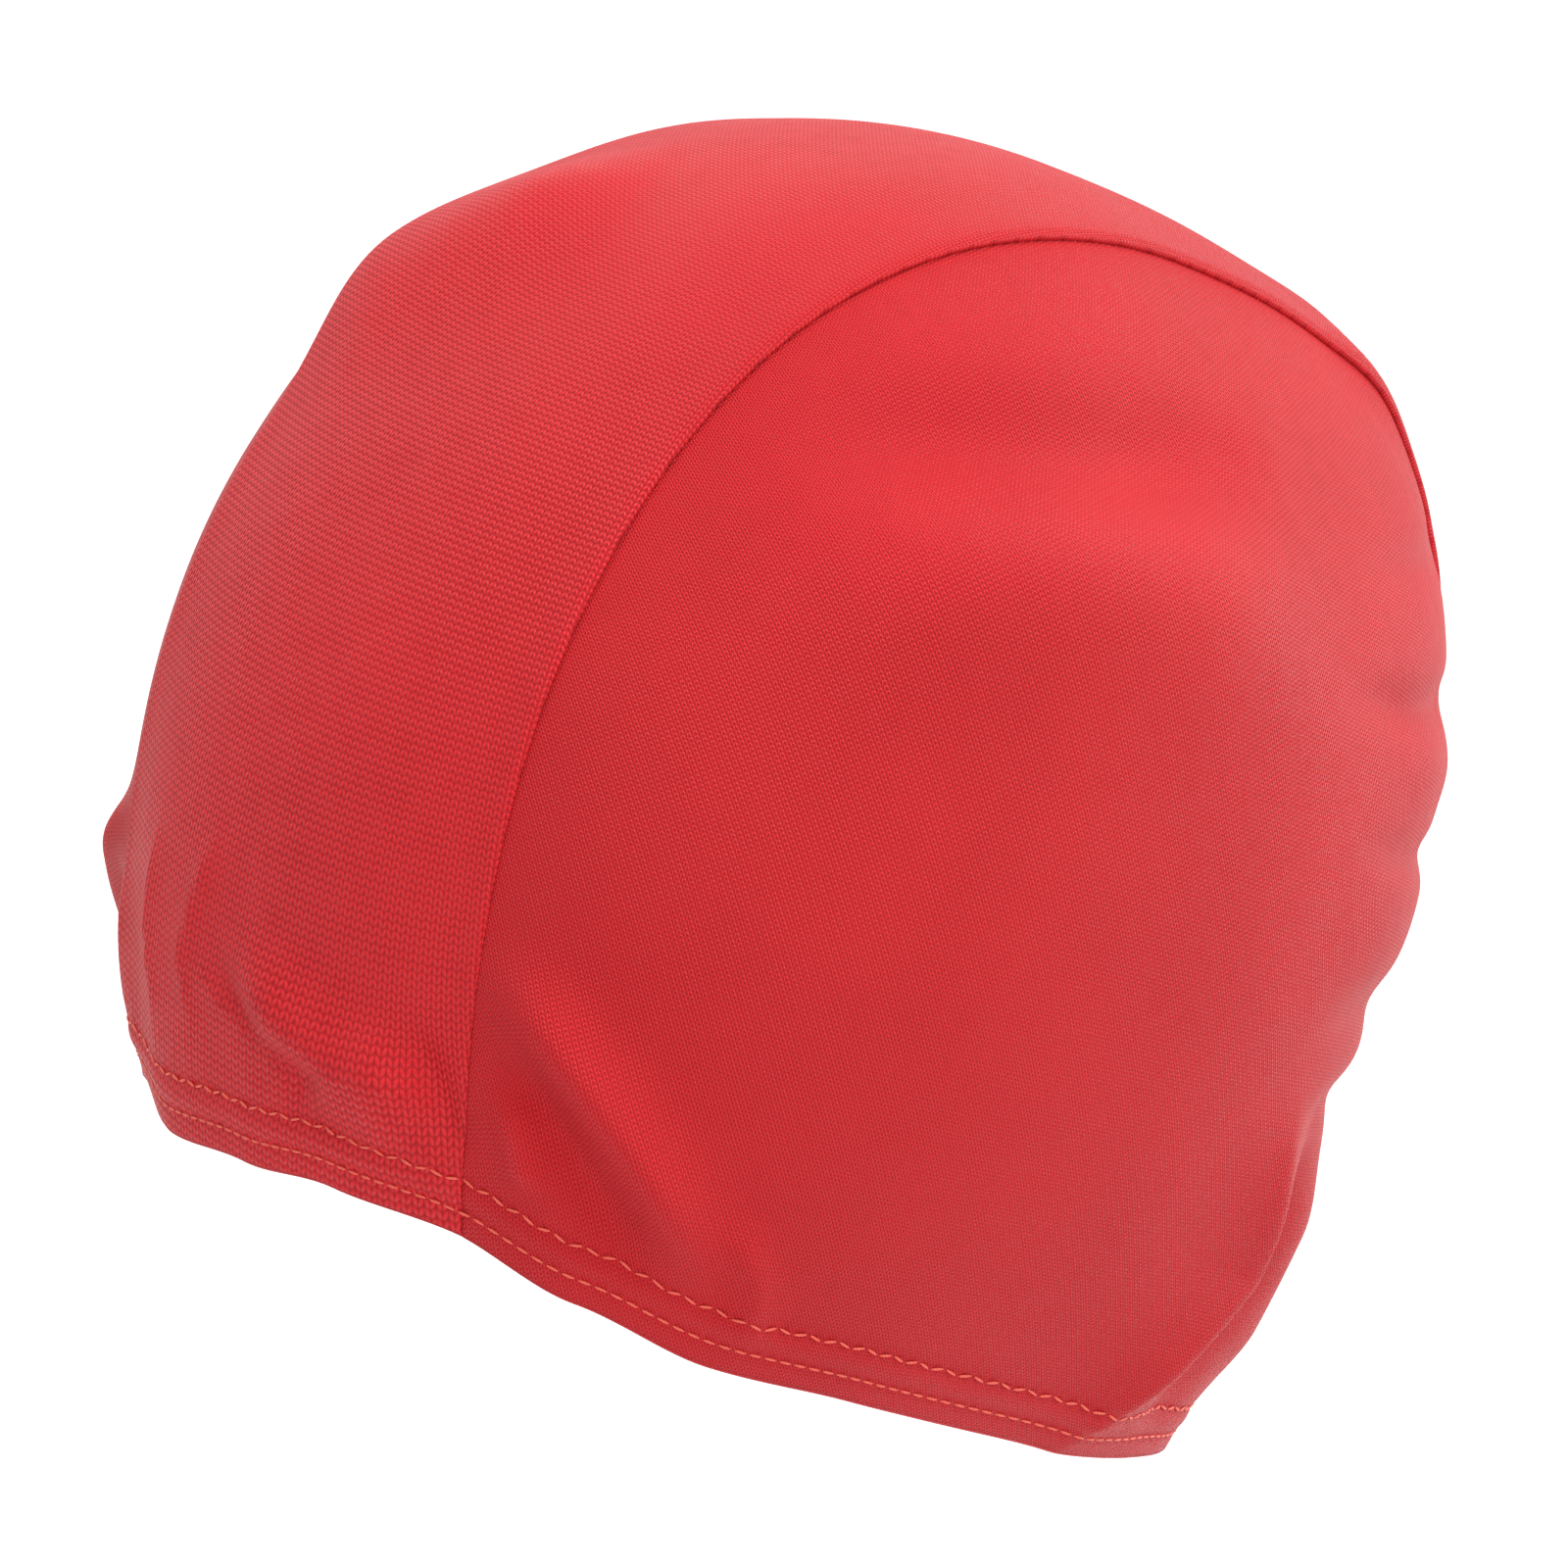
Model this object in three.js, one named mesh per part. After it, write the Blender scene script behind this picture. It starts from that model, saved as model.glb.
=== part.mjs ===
// Swim cap of knitted fabric, in the shape it has when worn.
// Millimetres, +Z up. The forehead faces -Y and the wearer's left ear is at +X.
// The origin is where the crown of the head meets the inside of the cap.
//
// A centre panel runs from the forehead over the crown to the nape, with a side panel over each
// ear. The lower edge is turned up inside all the way round.
import * as THREE from 'three';

// The worn form, measured outside from the middle of the head
const HALF_WIDTH = 78;
const FRONT_REACH = 97.5;
const BACK_REACH = 90;
const CROWN_HEIGHT = 166.5;
const WIDEST_HEIGHT = 66.5;

// The lower edge, which hugs the head more closely than the widest level
const HEM_HALF_WIDTH = 63;
const HEM_FRONT_REACH = 75;
const HEM_BACK_REACH = 91;
const HEM_DIP = 6.5;

// How far the forehead edge is raised above the nape, in degrees
const WORN_TILT = 27;

// Cloth, seams and hem
const CLOTH = 1.2;
const PIECE_GAP = 0.55;
const CENTRE_PANEL_HALF_WIDTH = 33;
const SEAM_END_ANGLE = 56.2;
const HEM_DEPTH = 8;
const SEAM_RIDGE = 0.55;
const SEAM_RIDGE_WIDTH = 5;
const SEAM_SINK = 0.55;
const SEAM_SINK_WIDTH = 9;
const CROWN_FLATNESS = 3.2;

// The deepest fold's height and half width, which the fold table takes shares of
const FOLD_HEIGHT = 5;
const FOLD_WIDTH = 16;

// How square the sections are: 2 is an ellipse, more is squarer
const PLAN_SQUARENESS = 2.25;
const HEM_SQUARENESS = 2.4;
const FRONT_SQUARENESS = 1.98;
const BACK_SQUARENESS = 2.66;
const SIDE_SQUARENESS = 2;
const HEM_TAPER = 2.05;
const SEAM_SPREAD = 2.7;

// The share of the way from crown to hem where the cap is widest
const WIDEST_SHARE = 0.66;

// How far the lower edge dips round the head, as a share of HEM_DIP. around is in degrees:
// 0 over the left ear, 90 at the nape, 180 over the right ear, -90 at the forehead.
const HEM_LINE = [
  { around: -122, dip: 0.15 },
  { around: -106, dip: 0.88 },
  { around: -90, dip: 0.66 },
  { around: -74, dip: 0.32 },
  { around: -58, dip: 0.16 },
  { around: -42, dip: 0.64 },
  { around: -26, dip: 1.00 },
  { around: -8, dip: 0.86 },
  { around: 20, dip: 0.82 },
  { around: 46, dip: 0.65 },
  { around: 58, dip: 0.50 },
  { around: 90, dip: 0.46 },
  { around: 122, dip: 0.50 },
  { around: 134, dip: 0.65 },
  { around: 160, dip: 0.82 },
  { around: 188, dip: 0.86 },
  { around: 206, dip: 1.00 },
  { around: 222, dip: 0.60 },
  { around: 238, dip: 0.15 },
];

// Folds, bulges and dents. Each runs through three places: around in degrees as above, down as
// the share of the way from crown (0) to hem (1). height is a share of FOLD_HEIGHT, below 0 for
// a dent, and width a share of FOLD_WIDTH. A crisp fold has an edge along its top, and a paired
// one is on both sides of the cap.
const FOLDS = [
  // The forehead, left of the centre
  { name: 'brow_fold', around: [-94, -80, -58], down: [0.862, 0.905, 0.955],
    height: 0.62, width: 0.43 },
  { name: 'brow_valley', around: [-97, -84, -68], down: [0.88, 0.925, 0.955],
    height: -0.34, width: 0.26 },
  { name: 'brow_crease', around: [-101, -92, -76], down: [0.885, 0.905, 0.955],
    height: 0.36, width: 0.20, crisp: true },
  { name: 'seam_pull', around: [-74, -66, -57], down: [0.88, 0.915, 0.975],
    height: 0.34, width: 0.27 },
  { name: 'seam_valley', around: [-66, -61, -57], down: [0.87, 0.915, 0.96],
    height: -0.32, width: 0.25 },
  { name: 'forehead_crease', around: [-96, -101, -98], down: [0.79, 0.885, 0.945],
    height: 0.22, width: 0.18, crisp: true },
  { name: 'forehead_fold', around: [-109, -110, -107], down: [0.80, 0.88, 0.95],
    height: 0.20, width: 0.18, crisp: true },
  { name: 'brow_bulge', around: [-128, -112, -100], down: [0.52, 0.38, 0.28],
    height: 0.95, width: 1.20 },
  // The side panels
  { name: 'temple_fold', around: [-60, -46, -27], down: [0.80, 0.865, 0.965],
    height: 0.85, width: 0.42, paired: true },
  { name: 'temple_valley', around: [-57, -46, -34], down: [0.855, 0.905, 0.97],
    height: -0.50, width: 0.36, paired: true },
  { name: 'temple_bump', around: [-53, -51, -49], down: [0.89, 0.925, 0.955],
    height: 0.40, width: 0.26 },
  { name: 'ear_fold', around: [-30, -25, -22], down: [0.90, 0.94, 0.99],
    height: 0.30, width: 0.22 },
  { name: 'seam_hollow', around: [-57, -36, 8], down: [0.455, 0.415, 0.335],
    height: -0.85, width: 0.80, paired: true },
  { name: 'shoulder', around: [-55, -25, 20], down: [0.535, 0.475, 0.44],
    height: 0.85, width: 1.30, paired: true },
  { name: 'far_temple_dent', around: [-133, -128, -122], down: [0.80, 0.815, 0.83],
    height: -0.14, width: 0.34 },
  { name: 'far_temple_bulge', around: [-127, -123, -118], down: [0.84, 0.91, 1.02],
    height: 0.34, width: 0.50 },
  // Behind the ears
  { name: 'ear_crease', around: [27, 34, 18], down: [0.70, 0.85, 1.03],
    height: 1.00, width: 0.60, crisp: true, paired: true },
  { name: 'flap_dent', around: [40, 41, 33], down: [0.72, 0.86, 1.00],
    height: -0.80, width: 0.50, paired: true },
  { name: 'nape_bulge', around: [50, 52, 56], down: [0.74, 0.86, 0.98],
    height: 0.72, width: 0.80, paired: true },
  // The back, where the cloth is slack
  { name: 'crown_back_bulge', around: [40, 52, 66], down: [0.30, 0.24, 0.20],
    height: 0.34, width: 0.90, paired: true },
  { name: 'back_bulge', around: [20, 42, 64], down: [0.62, 0.60, 0.60],
    height: 0.20, width: 0.90, paired: true },
  { name: 'back_roll', around: [26, 45, 62], down: [0.51, 0.512, 0.50],
    height: 0.20, width: 0.34, paired: true },
  { name: 'back_dent_1', around: [20, 38, 60], down: [0.40, 0.39, 0.37],
    height: -0.18, width: 0.26, paired: true },
  { name: 'back_dent_2', around: [15, 34, 60], down: [0.48, 0.475, 0.465],
    height: -0.42, width: 0.24, paired: true },
  { name: 'back_dent_3', around: [22, 42, 64], down: [0.565, 0.562, 0.555],
    height: -0.30, width: 0.22, paired: true },
  { name: 'back_dent_4', around: [24, 42, 64], down: [0.67, 0.655, 0.65],
    height: -0.30, width: 0.34, paired: true },
  { name: 'back_dent_5', around: [30, 42, 60], down: [0.75, 0.725, 0.72],
    height: -0.34, width: 0.34, paired: true },
];

// How a fold's section falls off, and the share of its length over which each end dies out
const FOLD_FALLOFF = 1.6;
const FOLD_END_SHARE = 0.35;

// The share of the way down, measured up from the hem, over which the relief beside the seams grows
const RELIEF_SHARE = 0.45;

// Mean arc over the dome, the wall's slant and the spread across the cap, as shares of straight ones
const DOME_ARC_SHARE = 0.83;
const WALL_SLANT_SHARE = 1.05;
const ACROSS_SHARE = 0.7;

// How finely the cloth is divided, and how its rows crowd towards the seam
const ALONG_CENTRE_COUNT = 46;
const ACROSS_CENTRE_COUNT = 14;
const ALONG_SIDE_COUNT = 36;
const DOWN_SIDE_COUNT = 17;
const HEM_ROW_COUNT = 2;
const ROW_CROWDING = 0.85;

const CLOTH_FINISH = { color: 0xcf2f3b, roughness: 0.62, metalness: 0 };

// A small step on the disc, to measure slopes with
const STEP = 0.002;

const RIGHT_ANGLE = Math.PI / 2;
const clamp = (value) => Math.min(Math.max(value, 0), 1);
const ease = (value) => clamp(value) ** 2 * (3 - 2 * clamp(value));
const mix = (from, to, share) => from + (to - from) * share;
const radians = THREE.MathUtils.degToRad;

// The cap is the image of a disc: its middle is the crown and its rim the lower edge. A place
// on the disc is (p, q), with p towards the left ear and q towards the nape.
const HEM_SHARE = (1 - WIDEST_SHARE) * HEM_DEPTH / (WIDEST_HEIGHT + HEM_DIP / 2);
const SEAM_END = {
  p: Math.cos(radians(SEAM_END_ANGLE)),
  q: Math.sin(radians(SEAM_END_ANGLE)),
};
const SEAM_TOP = WIDEST_SHARE * Math.asin(CENTRE_PANEL_HALF_WIDTH / HALF_WIDTH) / RIGHT_ANGLE;

// Mean lengths over the worn form, which turn shares and degrees into millimetres for folds
const MEAN_RADIUS = (HALF_WIDTH + HEM_HALF_WIDTH) / 2 + HEM_DEPTH;
const CROWN_TO_HEM = (CROWN_HEIGHT - WIDEST_HEIGHT + HALF_WIDTH) * DOME_ARC_SHARE
  + WIDEST_HEIGHT * WALL_SLANT_SHARE;

// A squared ellipse: the point at an angle, for given half width, front and back reach
function planPoint(angle, squareness, halfWidth, frontReach, backReach) {
  const c = Math.cos(angle);
  const s = Math.sin(angle);
  const reach = (Math.abs(c) ** squareness + Math.abs(s) ** squareness) ** (-1 / squareness);
  return { x: halfWidth * c * reach, y: (s < 0 ? frontReach : backReach) * s * reach };
}

function hemDip(angle) {
  let around = THREE.MathUtils.radToDeg(angle);
  if (around < HEM_LINE[0].around) around += 360;
  const next = Math.max(HEM_LINE.findIndex((row) => row.around >= around), 1);
  const low = HEM_LINE[next - 1];
  const high = HEM_LINE[next];
  const share = (around - low.around) / (high.around - low.around);
  return HEM_DIP * mix(low.dip, high.dip, ease(share));
}

// The smooth form before folds and seams: a squared dome above the widest level, and a wall
// that tapers to the lower edge below it
function smoothForm(p, q) {
  const down = Math.hypot(p, q);
  const angle = Math.atan2(q, p);
  const widest = planPoint(angle, PLAN_SQUARENESS, HALF_WIDTH, FRONT_REACH, BACK_REACH);
  if (down < WIDEST_SHARE) {
    const c = Math.cos(angle) ** 2;
    const end = q < 0 ? FRONT_SQUARENESS : BACK_SQUARENESS;
    const squareness = SIDE_SQUARENESS * c + end * (1 - c);
    const arc = RIGHT_ANGLE * down / WIDEST_SHARE;
    const reach = (Math.sin(arc) ** squareness + Math.cos(arc) ** squareness) ** (-1 / squareness);
    const spread = reach * Math.sin(arc);
    const rise = reach * Math.cos(arc);
    return new THREE.Vector3(
      widest.x * spread, widest.y * spread, mix(WIDEST_HEIGHT, CROWN_HEIGHT, rise));
  }
  const hem = planPoint(angle, HEM_SQUARENESS, HEM_HALF_WIDTH, HEM_FRONT_REACH, HEM_BACK_REACH);
  const below = (down - WIDEST_SHARE) / (1 - WIDEST_SHARE);
  const taper = below ** HEM_TAPER;
  return new THREE.Vector3(
    mix(widest.x, hem.x, taper),
    mix(widest.y, hem.y, taper),
    mix(WIDEST_HEIGHT, -hemDip(angle), below));
}

function outward(p, q) {
  const alongP = smoothForm(p + STEP, q).sub(smoothForm(p - STEP, q));
  const alongQ = smoothForm(p, q + STEP).sub(smoothForm(p, q - STEP));
  return alongP.cross(alongQ).normalize();
}

// The seam's distance from the middle line of the disc, at a place along it
function seamAt(q) {
  const along = Math.min(Math.abs(q) / SEAM_END.q, 1);
  return mix(SEAM_TOP, SEAM_END.p, along ** SEAM_SPREAD);
}

// Where along the seam it is a given share of the way down, found by halving
function seamCrossing(down) {
  let low = 0;
  let high = SEAM_END.q;
  for (let turn = 0; turn < 40; turn += 1) {
    const middle = (low + high) / 2;
    if (Math.hypot(seamAt(middle), middle) < down) low = middle;
    else high = middle;
  }
  return (low + high) / 2;
}

// One fold's height at a place, from its distance to the fold's two straight stretches on the
// unrolled cloth. It dies out over the last third at each end.
function foldHeight(fold, p, q) {
  const middle = fold.around[1];
  const degrees = THREE.MathUtils.radToDeg(Math.atan2(q, p));
  const near = middle + THREE.MathUtils.euclideanModulo(degrees - middle + 180, 360) - 180;
  const place = new THREE.Vector2(radians(near) * MEAN_RADIUS, Math.hypot(p, q) * CROWN_TO_HEM);
  const stops = fold.around.map((around, i) =>
    new THREE.Vector2(radians(around) * MEAN_RADIUS, fold.down[i] * CROWN_TO_HEM));
  const first = stops[0].distanceTo(stops[1]);
  const whole = first + stops[1].distanceTo(stops[2]);
  let nearest = Infinity;
  let along = 0;
  for (const i of [0, 1]) {
    const run = stops[i + 1].clone().sub(stops[i]);
    const share = clamp(place.clone().sub(stops[i]).dot(run) / run.lengthSq());
    const gap = place.distanceTo(stops[i].clone().addScaledVector(run, share));
    if (gap < nearest) {
      nearest = gap;
      along = ((i ? first : 0) + share * run.length()) / whole;
    }
  }
  const fade = ease(along / FOLD_END_SHARE) * ease((1 - along) / FOLD_END_SHARE);
  const ratio = nearest / (fold.width * FOLD_WIDTH);
  const section = Math.exp(-FOLD_FALLOFF * (fold.crisp ? ratio : ratio ** 2));
  return fold.height * FOLD_HEIGHT * fade * section;
}

function foldsAt(p, q) {
  let height = 0;
  for (const fold of FOLDS) {
    height += foldHeight(fold, p, q);
    if (fold.paired) height += foldHeight(fold, -p, q);
  }
  return height;
}

// Relief beside the seams: the centre panel's turned edge stands proud of the side panel's, and
// the centre panel is drawn flat between its seams. Both are strongest over the crown.
function seamRelief(p, q, panel) {
  if (panel === 'hem') return 0;
  const seam = seamAt(q);
  const upper = ease((1 - Math.hypot(p, q)) / RELIEF_SHARE);
  const aside = Math.abs(Math.abs(p) - seam) * CROWN_TO_HEM * ACROSS_SHARE;
  if (panel === 'side') {
    return -SEAM_SINK * mix(0.2, 1, upper) * Math.exp(-((aside / SEAM_SINK_WIDTH) ** 2));
  }
  const across = Math.min(Math.abs(p) / seam, 1);
  const flat = -CROWN_FLATNESS * upper * (1 - across ** 2);
  return flat + SEAM_RIDGE * mix(0.3, 1, upper) * Math.exp(-((aside / SEAM_RIDGE_WIDTH) ** 2));
}

// A point on the cloth, depth millimetres under its outer face
function clothPoint(p, q, panel, depth) {
  const height = foldsAt(p, q) + seamRelief(p, q, panel) - depth;
  return smoothForm(p, q).addScaledVector(outward(p, q), height);
}

// Half the gap between two panels, as a distance on the disc
function halfGap(q) {
  const p = seamAt(q);
  const perUnit = smoothForm(p + STEP, q).distanceTo(smoothForm(p - STEP, q)) / (2 * STEP);
  return PIECE_GAP / 2 / perUnit;
}

// A closed wall of cloth from a grid of disc places. Places that coincide are one vertex, so a
// grid may run to a point. turned says that the grid is mirrored.
function clothWall(rows, panel, outerDepth, innerDepth, turned) {
  const places = [];
  const known = new Map();
  const indexOf = ([p, q]) => {
    const key = `${p.toFixed(6)} ${q.toFixed(6)}`;
    if (!known.has(key)) {
      known.set(key, places.length);
      places.push([p, q]);
    }
    return known.get(key);
  };
  const faces = [];
  const addFace = (a, b, c) => {
    if (a !== b && b !== c && c !== a) faces.push(turned ? [a, c, b] : [a, b, c]);
  };
  for (let i = 0; i + 1 < rows.length; i += 1) {
    for (let j = 0; j + 1 < rows[i].length; j += 1) {
      const corners = [rows[i][j], rows[i + 1][j], rows[i + 1][j + 1], rows[i][j + 1]].map(indexOf);
      addFace(corners[0], corners[1], corners[2]);
      addFace(corners[0], corners[2], corners[3]);
    }
  }
  const count = places.length;
  const index = [];
  const directed = new Set(faces.flatMap(([a, b, c]) => [`${a} ${b}`, `${b} ${c}`, `${c} ${a}`]));
  for (const [a, b, c] of faces) {
    index.push(a, b, c, a + count, c + count, b + count);
    for (const [from, to] of [[a, b], [b, c], [c, a]]) {
      if (!directed.has(`${to} ${from}`)) {
        index.push(to, from, from + count, to, from + count, to + count);
      }
    }
  }
  const outer = places.map(([p, q]) => clothPoint(p, q, panel, outerDepth));
  const inner = places.map(([p, q]) => clothPoint(p, q, panel, innerDepth));
  const geometry = new THREE.BufferGeometry();
  const points = [...outer, ...inner].flatMap((point) => point.toArray());
  geometry.setAttribute('position', new THREE.Float32BufferAttribute(points, 3));
  geometry.setIndex(index);
  geometry.computeVertexNormals();
  return geometry;
}

// Shares from 0 to 1 in equal steps
const steps = (count) => Array.from({ length: count + 1 }, (_, i) => i / count);

// The rows of the hem, as shares of the way down
const hemDowns = steps(HEM_ROW_COUNT).map((share) => mix(1 - HEM_SHARE, 1, share));

// The angle from the ear to the seam at a share of the way down, less the gap between panels
function sideAngle(down) {
  const q = seamCrossing(down);
  return Math.atan2(q, seamAt(q) + halfGap(q));
}

function centreAngle(down) {
  const q = seamCrossing(down);
  return RIGHT_ANGLE - Math.atan2(q, seamAt(q) - halfGap(q));
}

// The centre panel: rows run from the forehead to the nape, each from seam to seam
function centreRows() {
  const bodyDown = hemDowns[0];
  const end = seamCrossing(bodyDown);
  const hemRow = (down, side) => steps(ACROSS_CENTRE_COUNT).map((share) => {
    const angle = side * RIGHT_ANGLE + side * centreAngle(down) * mix(1, -1, share);
    return [down * Math.cos(angle), down * Math.sin(angle)];
  });
  const forehead = hemDowns.map((down) => hemRow(down, -1)).reverse();
  const nape = hemDowns.map((down) => hemRow(down, 1));
  const body = steps(ALONG_CENTRE_COUNT).slice(1, -1).map((share) => {
    const along = mix(-1, 1, share);
    const seamQ = along * end;
    const edge = seamAt(seamQ) - halfGap(seamQ);
    const edgeAngle = centreAngle(bodyDown);
    return steps(ACROSS_CENTRE_COUNT).map((across) => {
      const sideways = mix(-1, 1, across);
      const fullQ = bodyDown * Math.cos(edgeAngle * sideways);
      return [edge * sideways, along * mix(fullQ, end, sideways ** 2)];
    });
  });
  return [...forehead, ...body, ...nape];
}

// A side panel: rows run from the seam down to the lower edge, each from front to back
function sideRows(side) {
  const bodyDown = hemDowns[0];
  const end = seamCrossing(bodyDown);
  const body = steps(DOWN_SIDE_COUNT).slice(0, -1).map((share) => {
    const drop = share ** ROW_CROWDING;
    return steps(ALONG_SIDE_COUNT).map((along) => {
      const lengthwise = mix(-1, 1, along);
      const seamQ = lengthwise * end;
      const angle = lengthwise * sideAngle(bodyDown);
      const atSeam = seamAt(seamQ) + halfGap(seamQ);
      const corner = Math.abs(lengthwise) === 1;
      const p = corner ? bodyDown * Math.cos(angle) : mix(atSeam, bodyDown * Math.cos(angle), drop);
      const q = corner ? bodyDown * Math.sin(angle) : mix(seamQ, bodyDown * Math.sin(angle), drop);
      return [side * p, q];
    });
  });
  const hem = hemDowns.map((down) => steps(ALONG_SIDE_COUNT).map((along) => {
    const angle = sideAngle(down) * mix(-1, 1, along);
    return [side * down * Math.cos(angle), down * Math.sin(angle)];
  }));
  return [...body, ...hem];
}

// The turned-up hem: its columns stand at the same angles as those of the panels over it
function hemRows() {
  const seamAngle = (down) => {
    const q = seamCrossing(down);
    return Math.atan2(q, seamAt(q));
  };
  return hemDowns.map((down) => {
    const ear = seamAngle(down);
    const arcs = [
      { from: -ear, to: ear, count: ALONG_SIDE_COUNT },
      { from: ear, to: Math.PI - ear, count: ACROSS_CENTRE_COUNT },
      { from: Math.PI - ear, to: Math.PI + ear, count: ALONG_SIDE_COUNT },
      { from: Math.PI + ear, to: 2 * Math.PI - ear, count: ACROSS_CENTRE_COUNT },
    ];
    const angles = arcs.flatMap(({ from, to, count }) =>
      steps(count).slice(0, -1).map((share) => mix(from, to, share)));
    return [...angles, angles[0]].map((angle) => [down * Math.cos(angle), down * Math.sin(angle)]);
  });
}

function piece(name, geometry) {
  const mesh = new THREE.Mesh(geometry, new THREE.MeshStandardMaterial(CLOTH_FINISH));
  mesh.name = name;
  return mesh;
}

// The highest point inside the cap as worn, on the middle line, where the head meets it
function headSeat() {
  const tilt = new THREE.Euler(-radians(WORN_TILT), 0, 0);
  const inside = steps(400).map((share) =>
    clothPoint(0, mix(-WIDEST_SHARE, WIDEST_SHARE, share), 'centre', CLOTH).applyEuler(tilt));
  return inside.reduce((best, point) => (point.z > best.z ? point : best));
}

const hemTop = CLOTH + PIECE_GAP;
const worn = new THREE.Group();
worn.add(
  piece('centre_panel', clothWall(centreRows(), 'centre', 0, CLOTH, true)),
  piece('side_panel_left', clothWall(sideRows(1), 'side', 0, CLOTH, false)),
  piece('side_panel_right', clothWall(sideRows(-1), 'side', 0, CLOTH, true)),
  piece('turned_hem', clothWall(hemRows(), 'hem', hemTop, hemTop + CLOTH, false)),
);
worn.rotation.x = -radians(WORN_TILT);
worn.position.copy(headSeat()).negate();

const cap = new THREE.Group();
cap.add(worn);

export default cap;
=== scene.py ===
"""Swim cap of knitted fabric in its worn shape, with the floor, light and camera of its picture.

Laid out as an add-on: each operator makes one piece or group of like pieces around the loaded
frame, and main() calls them in order. Metres, +Z up, the forehead faces -Y.
"""

import math

import bmesh
import bpy
import numpy as np
from bpy.props import FloatProperty, PointerProperty, StringProperty
from mathutils import Matrix, Vector


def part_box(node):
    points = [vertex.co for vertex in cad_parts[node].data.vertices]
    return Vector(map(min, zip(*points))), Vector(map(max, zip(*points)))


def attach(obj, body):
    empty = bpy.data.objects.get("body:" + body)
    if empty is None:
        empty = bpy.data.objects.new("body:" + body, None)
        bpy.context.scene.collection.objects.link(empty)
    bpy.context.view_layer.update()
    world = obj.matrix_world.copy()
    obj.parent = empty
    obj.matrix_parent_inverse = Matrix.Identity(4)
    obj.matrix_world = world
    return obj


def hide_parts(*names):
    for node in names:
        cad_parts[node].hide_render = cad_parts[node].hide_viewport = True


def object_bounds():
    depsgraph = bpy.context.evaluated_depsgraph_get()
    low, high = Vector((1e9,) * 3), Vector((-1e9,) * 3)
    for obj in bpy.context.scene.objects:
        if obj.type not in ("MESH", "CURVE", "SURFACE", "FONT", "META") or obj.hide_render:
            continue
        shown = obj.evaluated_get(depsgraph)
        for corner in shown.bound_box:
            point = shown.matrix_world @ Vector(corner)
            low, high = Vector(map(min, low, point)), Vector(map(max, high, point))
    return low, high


bl_info = {
    "name": "Knitted swim cap",
    "version": (1, 0, 0),
    "blender": (4, 5, 0),
    "location": "View3D > Sidebar > Swim cap",
    "description": "Builds a knitted fabric swim cap with seams, folds and a stitched hem",
    "category": "Object",
}

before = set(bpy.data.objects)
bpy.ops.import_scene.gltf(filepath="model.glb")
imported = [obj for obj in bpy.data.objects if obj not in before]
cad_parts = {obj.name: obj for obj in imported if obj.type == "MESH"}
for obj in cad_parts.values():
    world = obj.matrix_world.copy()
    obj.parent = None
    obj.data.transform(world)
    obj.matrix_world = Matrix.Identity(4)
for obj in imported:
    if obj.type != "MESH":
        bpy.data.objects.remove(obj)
CAD_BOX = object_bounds()
MM = 0.001

CAD_WALL = 1.2 * MM    # thickness of the solids' cloth, which sets where the head's seat is
STEP = 0.002           # step on the disc for slopes
HEM_BAND = 0.16        # share of a panel's grid that goes to the turned-up depth
HEM_ROLL = 0.9 * MM    # radius of the rolled lower edge
SEAM_CROWDING = 1.5    # how much closer the centre panel's columns stand at its seams
SIDE_CROWDING = 1.15   # how much closer the side panels' rows stand at the seam
RELIEF_SHARE = 0.45    # share of the way up from the hem over which the seam's relief grows
ACROSS_SHARE = 0.7     # length across the panels as a share of the length from crown to hem
DOME_ARC_SHARE = 0.83  # length of the dome's arc as a share of its height and half width
WALL_SLANT_SHARE = 1.05  # length down the slanting wall as a share of its height
FOLD_FALLOFF = 1.6     # how quickly a fold falls off to its sides
FOLD_END_SHARE = 0.35  # share of a fold's run over which each end fades
FOLD_ROUNDING = 0.01   # keeps a crisp fold's top from being a knife edge
GROOVE_WIDTH = 0.55 * MM    # half width of the thin groove along a seam
STITCH_CHANNEL = 0.7 * MM   # half width of the dimples along a stitch row
STITCH_SWELL = 1.3 * MM     # half width of the swelling between the two rows
STITCH_RISE = 0.12     # how far a stitch stands out, as a share of its thread
CAMERA_AIM = Vector((4.3, -9.0, -89.8)) * MM  # the place in the middle of the picture

# The dips of the lower edge, in degrees round the head (0 left ear, 90 nape, -90 forehead) and
# shares of the deepest dip
HEM_LINE = (
    (-122, 0.15), (-106, 0.88), (-90, 0.66), (-74, 0.32), (-58, 0.16), (-42, 0.64), (-26, 1.00),
    (-8, 0.86), (20, 0.82), (46, 0.65), (58, 0.50), (90, 0.46), (122, 0.50), (134, 0.65),
    (160, 0.82), (188, 0.86), (206, 1.00), (222, 0.60), (238, 0.15),
)

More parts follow.
